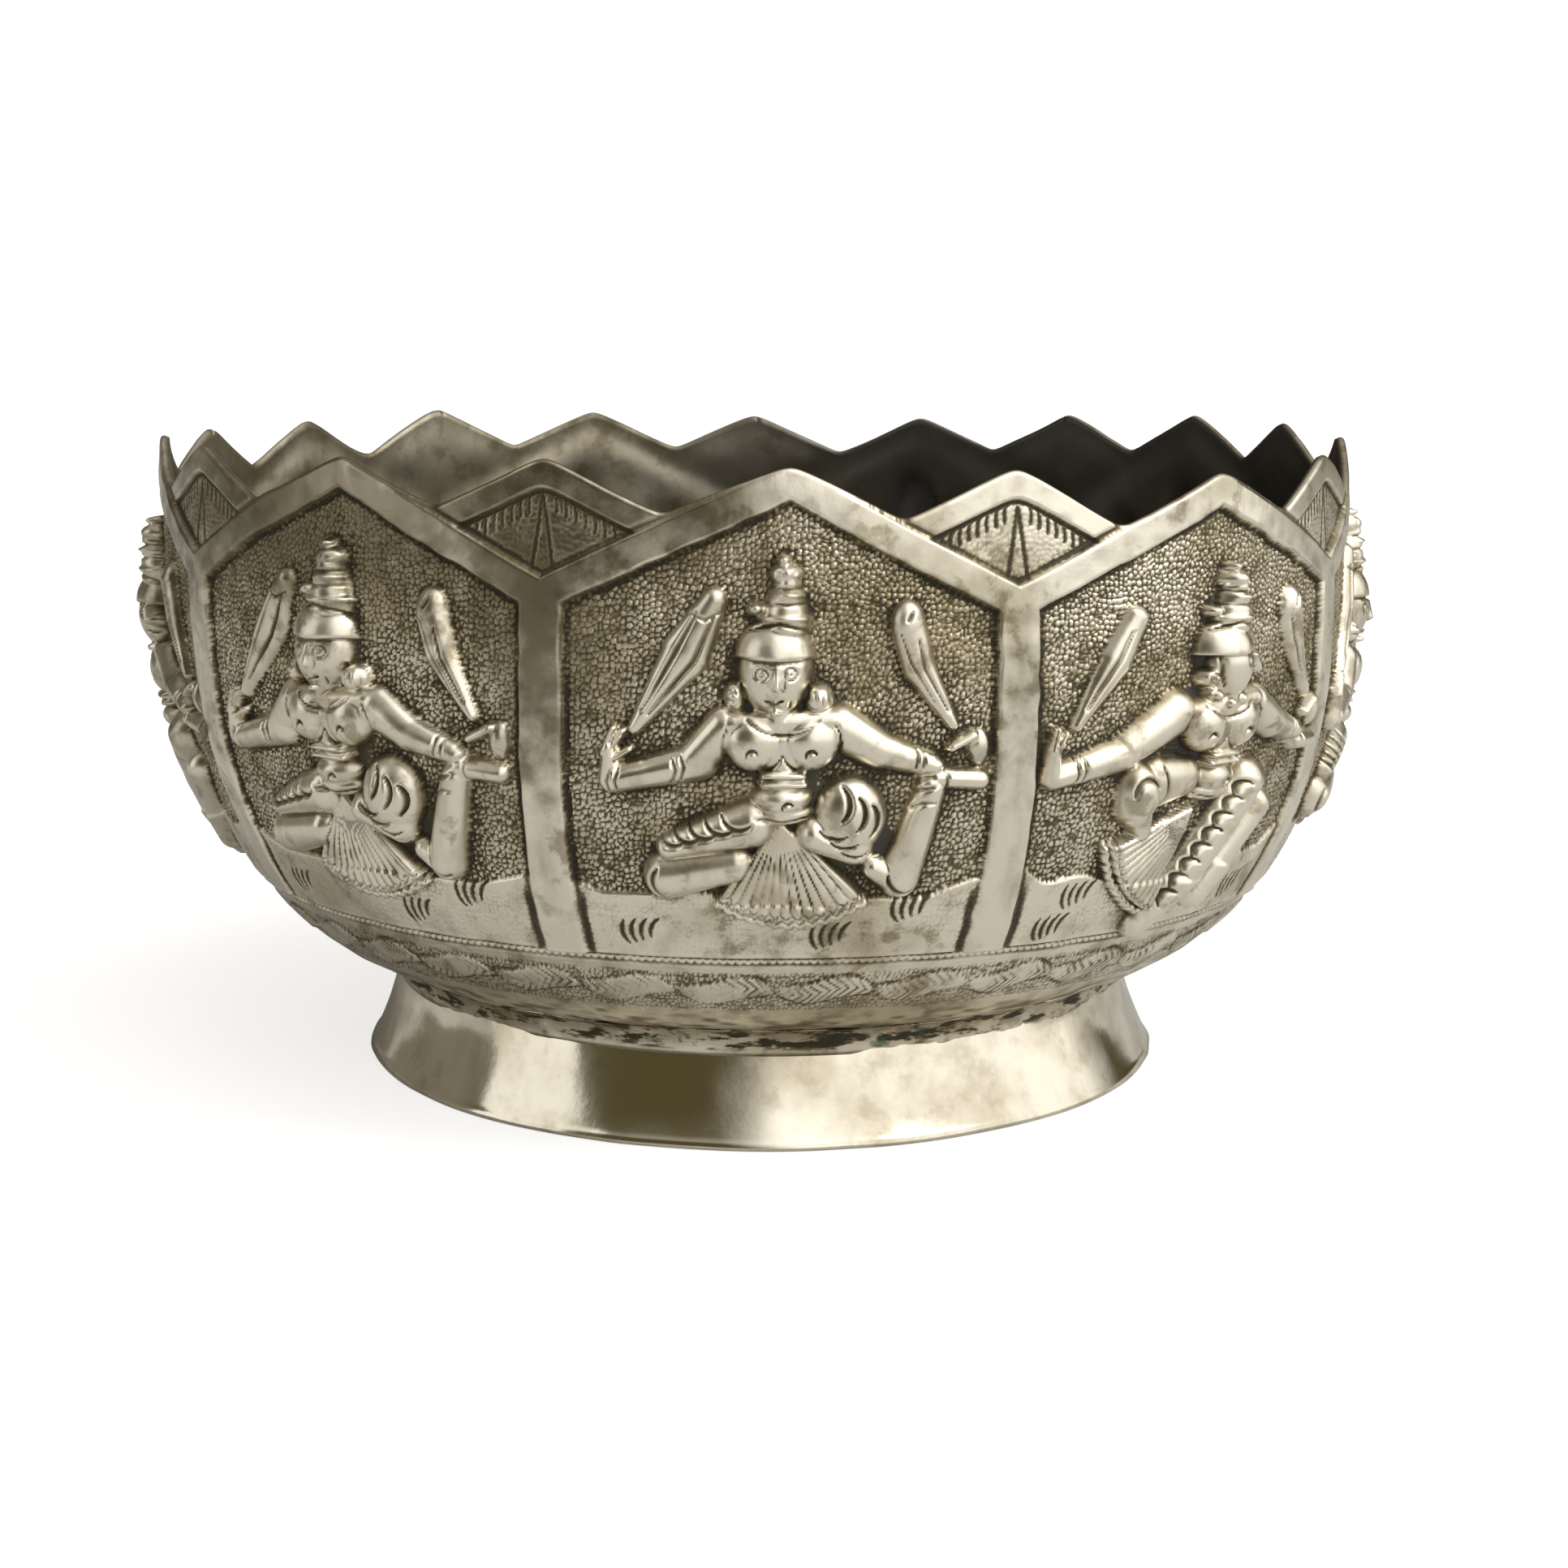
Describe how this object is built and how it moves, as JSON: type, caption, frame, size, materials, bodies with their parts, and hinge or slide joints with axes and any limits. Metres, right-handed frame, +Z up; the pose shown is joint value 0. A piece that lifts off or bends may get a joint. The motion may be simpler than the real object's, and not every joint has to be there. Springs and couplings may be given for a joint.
{
  "type": "offering bowl",
  "caption": "Small round chased metal offering bowl with a zigzag rim, gabled panels of seated figures in relief and a flared foot ring soldered underneath",
  "frame": {"origin": "centre of the foot ring, on the surface that the bowl stands on", "axes": "+Z up along the bowl's axis; -Y is the middle of the front panel; +X to the viewer's right"},
  "size_m": [0.1072, 0.1071, 0.0558],
  "materials": {
    "silver": "satin",
    "foot_silver": "gloss",
    "solder": "matte"
  },
  "bodies": {
    "root": {"bowl": "silver", "foot_ring": "foot_silver", "foot_seam": "solder", "neck_solder": "solder", "inner_solder": "solder"}
  },
  "joints": []
}
